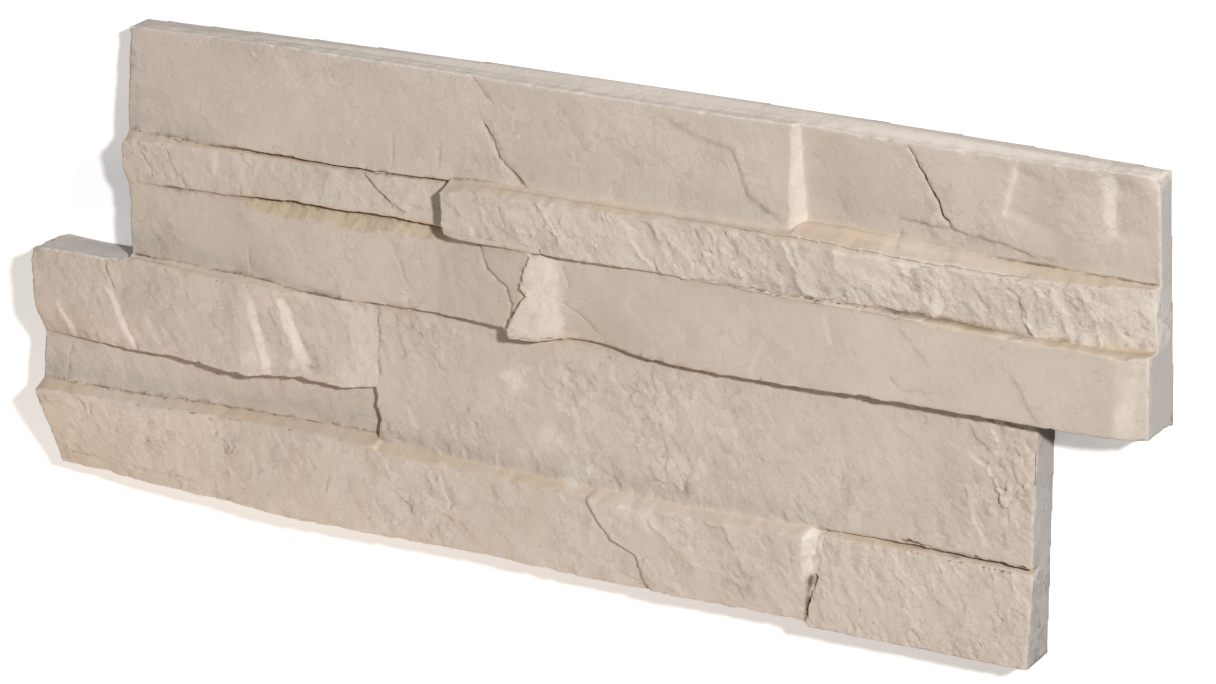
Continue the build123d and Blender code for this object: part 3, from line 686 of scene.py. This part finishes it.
def makeCastStone():
    m = castStone
    material = bpy.data.materials.new("castStone")
    material.use_nodes = True
    tree = material.node_tree
    tree.nodes.clear()
    place = addNode(tree, "ShaderNodeTexCoord").outputs["Object"]
    cloud = addNode(tree, "ShaderNodeTexNoise", {"Scale": 1 / (m["cloud"] * mm), "Detail": 5.0, "Roughness": 0.65}, {"Vector": place})
    tone = addNode(tree, "ShaderNodeValToRGB", None, {"Fac": cloud.outputs["Fac"]})
    tone.color_ramp.elements[0].position, tone.color_ramp.elements[0].color = 0.3, linear(m["dull"])
    tone.color_ramp.elements[1].position, tone.color_ramp.elements[1].color = 0.7, linear(m["light"])
    tone.color_ramp.elements.new(0.5).color = linear(m["colour"])
    colour = tone.outputs["Color"]
    # painted shade and painted highlights are mixed into the base colour here, along with the stains and the mould skin
    for label in ("mouldSkinAndShade", "stainAndWarmShade", "bloomAndHighlight", "crevice"):
        amount = addNode(tree, "ShaderNodeAttribute", {"attribute_name": label})
        part = addNode(tree, "ShaderNodeMath", {"operation": "MULTIPLY", 1: m[label + "Most"]}, {0: amount.outputs["Fac"]})
        mixed = addNode(tree, "ShaderNodeMix", {"data_type": "RGBA", 7: linear(m[label])}, {0: part.outputs[0], 6: colour})
        colour = mixed.outputs[2]

    grain = addNode(tree, "ShaderNodeAttribute", {"attribute_name": "grain"}).outputs["Fac"]
    patch = addNode(tree, "ShaderNodeTexNoise", {"Scale": 1 / (m["patch"] * mm), "Detail": 2.0}, {"Vector": place})
    openSkin = addNode(tree, "ShaderNodeMapRange", {"From Min": 0.4, "From Max": 0.62, "To Min": 0.2}, {"Value": patch.outputs["Fac"]})
    coarse = addNode(tree, "ShaderNodeMath", {"operation": "MULTIPLY"}, {0: grain, 1: openSkin.outputs["Result"]}).outputs[0]
    turn = addNode(tree, "ShaderNodeMapping", {"Rotation": (0, 0, math.radians(-m["slant"]))}, {"Vector": place})
    drawn = addNode(tree, "ShaderNodeMapping", {"Scale": (1 / m["stretch"], 1, 1)}, {"Vector": turn.outputs["Vector"]})
    heights = []
    for size, slope in m["scars"]:
        bend = addNode(tree, "ShaderNodeTexNoise", {"Scale": 1 / (size * mm), "Detail": 2.0}, {"Vector": place})
        bent = addNode(tree, "ShaderNodeVectorMath", {"operation": "MULTIPLY_ADD", 1: (size * mm,) * 3},
                       {0: bend.outputs["Color"], 2: drawn.outputs["Vector"]})
        scar = addNode(tree, "ShaderNodeTexVoronoi", {"Scale": 1 / (size * mm)}, {"Vector": bent.outputs["Vector"]})
        way = addNode(tree, "ShaderNodeVectorMath", {"operation": "SUBTRACT"}, {0: bent.outputs["Vector"], 1: scar.outputs["Position"]})
        tilt = addNode(tree, "ShaderNodeVectorMath", {"operation": "SUBTRACT", 1: (0.5, 0.5, 0.5)}, {0: scar.outputs["Color"]})
        rise = addNode(tree, "ShaderNodeVectorMath", {"operation": "DOT_PRODUCT"}, {0: way.outputs["Vector"], 1: tilt.outputs["Vector"]})
        heights.append((rise.outputs["Value"], coarse, slope))
    for label in ("grit", "sand"):
        noise = addNode(tree, "ShaderNodeTexNoise", {"Scale": 1 / (m[label] * mm), "Detail": 3.0, "Roughness": 0.6}, {"Vector": place})
        heights.append((noise.outputs["Fac"], grain, m[label + "Bump"] * mm))
    normal = None
    for source, strength, distance in heights:
        height = addNode(tree, "ShaderNodeMath", {"operation": "MULTIPLY"}, {0: source, 1: strength})
        bump = addNode(tree, "ShaderNodeBump", {"Strength": 1.0, "Distance": distance}, {"Height": height.outputs[0]})
        if normal:
            tree.links.new(normal, bump.inputs["Normal"])
        normal = bump.outputs["Normal"]
    shader = addNode(tree, "ShaderNodeBsdfPrincipled", {"Roughness": m["roughness"], "Specular IOR Level": m["specular"]},
                     {"Base Color": colour, "Normal": normal})
    addNode(tree, "ShaderNodeOutputMaterial", None, {"Surface": shader.outputs["BSDF"]})
    return material


# Studio: a white floor that keeps the shadow, one small lamp up to the right, a wide soft one below, and an even sky
studio = {
    "floor": "#f0f0f0", "floorBounce": "#909090", "floorGlow": 0.32, "floorSize": 6.0,
    "lamps": {
        "keyLamp": {"towards": (1.17, 0.70, 1.0), "distance": 2.6, "size": 0.17, "watts": 72.0, "colour": (1.0, 0.99, 0.975)},
        "fillLamp": {"towards": (-0.45, -1.0, 0.45), "distance": 0.6, "size": 0.4, "watts": 2.1, "colour": (1.0, 0.83, 0.69)},
        "topLamp": {"towards": (-0.2, 1.0, 0.45), "distance": 2.2, "size": 1.6, "watts": 7.0, "colour": (0.99, 0.995, 1.0)},
    },
    "sky": 0.16, "skyColour": (1.0, 0.965, 0.92, 1.0),
}


def makeStudio():
    bm = bmesh.new()
    bmesh.ops.create_grid(bm, x_segments=1, y_segments=1, size=studio["floorSize"] / 2)
    mesh = bpy.data.meshes.new("studioFloor")
    bm.to_mesh(mesh)
    bm.free()
    floor = bpy.data.objects.new("studioFloor", mesh)
    bpy.context.collection.objects.link(floor)
    paint = bpy.data.materials.new("mattWhitePaint")
    paint.use_nodes = True
    tree = paint.node_tree
    tree.nodes.clear()
    seen = addNode(tree, "ShaderNodeBsdfDiffuse", {"Color": linear(studio["floor"])})
    bounce = addNode(tree, "ShaderNodeBsdfDiffuse", {"Color": linear(studio["floorBounce"])})
    glow = addNode(tree, "ShaderNodeEmission", {"Color": (1, 1, 1, 1), "Strength": studio["floorGlow"]})
    both = addNode(tree, "ShaderNodeAddShader", None, {0: seen.outputs[0], 1: glow.outputs[0]})
    path = addNode(tree, "ShaderNodeLightPath")
    shown = addNode(tree, "ShaderNodeMixShader", None, {0: path.outputs["Is Camera Ray"], 1: bounce.outputs[0], 2: both.outputs[0]})
    addNode(tree, "ShaderNodeOutputMaterial", None, {"Surface": shown.outputs[0]})
    mesh.materials.append(paint)

    for name, lamp in studio["lamps"].items():
        light = bpy.data.lights.new(name, "AREA")
        light.shape = "DISK"
        light.size, light.energy, light.color = lamp["size"], lamp["watts"], lamp["colour"]
        towards = Vector(lamp["towards"]).normalized()
        obj = bpy.data.objects.new(name, light)
        obj.location = towards * lamp["distance"]
        obj.rotation_euler = towards.to_track_quat("Z", "Y").to_euler()
        obj.visible_camera = False
        bpy.context.collection.objects.link(obj)

    world = bpy.data.worlds.new("studioSky")
    world.use_nodes = True
    world.node_tree.nodes["Background"].inputs["Color"].default_value = studio["skyColour"]
    world.node_tree.nodes["Background"].inputs["Strength"].default_value = studio["sky"]
    bpy.context.scene.world = world


# Camera, in the panel's millimetres
camera = {"place": (911.4, 613.9, 1433.4), "aim": (13.35, -7.15, 0.0), "rollDegrees": -1.95, "lens": 135.14}


def makeCamera():
    data = bpy.data.cameras.new("photoCamera")
    data.sensor_fit = "HORIZONTAL"
    data.sensor_width = 36.0
    data.lens = camera["lens"]
    data.clip_start, data.clip_end = 0.05, 30.0
    place, aim = Vector(camera["place"]) * mm, Vector(camera["aim"]) * mm
    back = (place - aim).normalized()
    right = Vector((0, 1, 0)).cross(back).normalized()
    up = back.cross(right)
    roll = Matrix.Rotation(math.radians(camera["rollDegrees"]), 3, back)
    turnedTo = Matrix((roll @ right, roll @ up, back)).transposed().to_4x4()
    turnedTo.translation = place
    obj = bpy.data.objects.new("photoCamera", data)
    obj.matrix_world = turnedTo
    bpy.context.collection.objects.link(obj)
    bpy.context.scene.camera = obj


castPanel = makePanel()
castPanel.data.materials.clear()
castPanel.data.materials.append(makeCastStone())
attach(castPanel, "root")
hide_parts("cladding_panel")
makeStudio()
makeCamera()
bpy.context.scene.view_settings.view_transform = "Standard"
